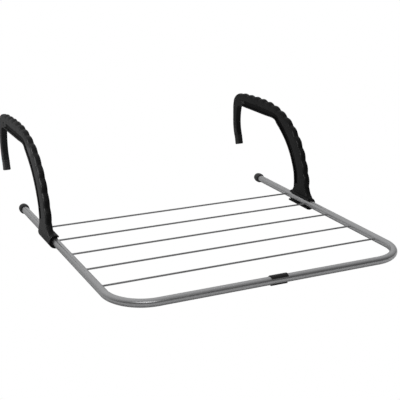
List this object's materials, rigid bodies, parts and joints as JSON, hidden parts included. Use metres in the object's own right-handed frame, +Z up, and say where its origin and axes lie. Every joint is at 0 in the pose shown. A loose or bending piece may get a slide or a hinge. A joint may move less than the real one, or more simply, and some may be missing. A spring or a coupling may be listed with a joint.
{
  "type": "over rail hanging airer",
  "caption": "Over-rail hanging clothes airer: bent tube frame with cross wires, hook arms that slide and swivel on the side tubes, wall caps and a snap clip.",
  "frame": {"origin": "middle of the line that joins the hook seats: centred between the side tubes, at the height and the mid-depth of the flat undersides of the hook arms, where the object rests on its rail", "axes": "+Z up, +Y from the front bar towards the wall or rail, +X along the front bar to the right seen from the front"},
  "size_m": [0.5234, 0.6231, 0.1782],
  "materials": {
    "frame_paint": "semi-gloss silver-grey powder coat",
    "wire_paint": "semi-gloss silver-grey powder coat",
    "cap_rubber": "matt dark grey",
    "clip_plastic": "satin black",
    "arm_plastic": "satin black, fine spark texture",
    "pad_rubber": "matt black",
    "liner_plastic": "matt black"
  },
  "bodies": {
    "frame": {"frame_tube": "frame_paint", "drying_wire_1": "wire_paint", "drying_wire_2": "wire_paint", "drying_wire_3": "wire_paint", "drying_wire_4": "wire_paint", "drying_wire_5": "wire_paint", "end_cap_left": "cap_rubber", "end_cap_right": "cap_rubber"},
    "clip": {"front_clip": "clip_plastic"},
    "slider_left": {"foot_liner_left": "liner_plastic"},
    "slider_right": {"foot_liner_right": "liner_plastic"},
    "arm_left": {"hook_arm_left": "arm_plastic", "hook_tip_pad_left": "pad_rubber"},
    "arm_right": {"hook_arm_right": "arm_plastic", "hook_tip_pad_right": "pad_rubber"}
  },
  "joints": [
    {"name": "slide_left", "type": "slide", "parent": "frame", "child": "slider_left", "axis": [0, 1, 0], "range_m": [-0.216, 0.121]},
    {"name": "slide_right", "type": "slide", "parent": "frame", "child": "slider_right", "axis": [0, 1, 0], "range_m": [-0.216, 0.121]},
    {"name": "fold_left", "type": "hinge", "parent": "slider_left", "child": "arm_left", "pos_m": [-0.25, -0.1865, -0.136], "axis": [0, 1, 0], "range_deg": [-28, 41]},
    {"name": "fold_right", "type": "hinge", "parent": "slider_right", "child": "arm_right", "pos_m": [0.25, -0.1865, -0.136], "axis": [0, -1, 0], "range_deg": [-28, 41]},
    {"name": "clip_slide", "type": "slide", "parent": "frame", "child": "clip", "axis": [1, 0, 0], "range_m": [-0.18, 0.167]}
  ]
}
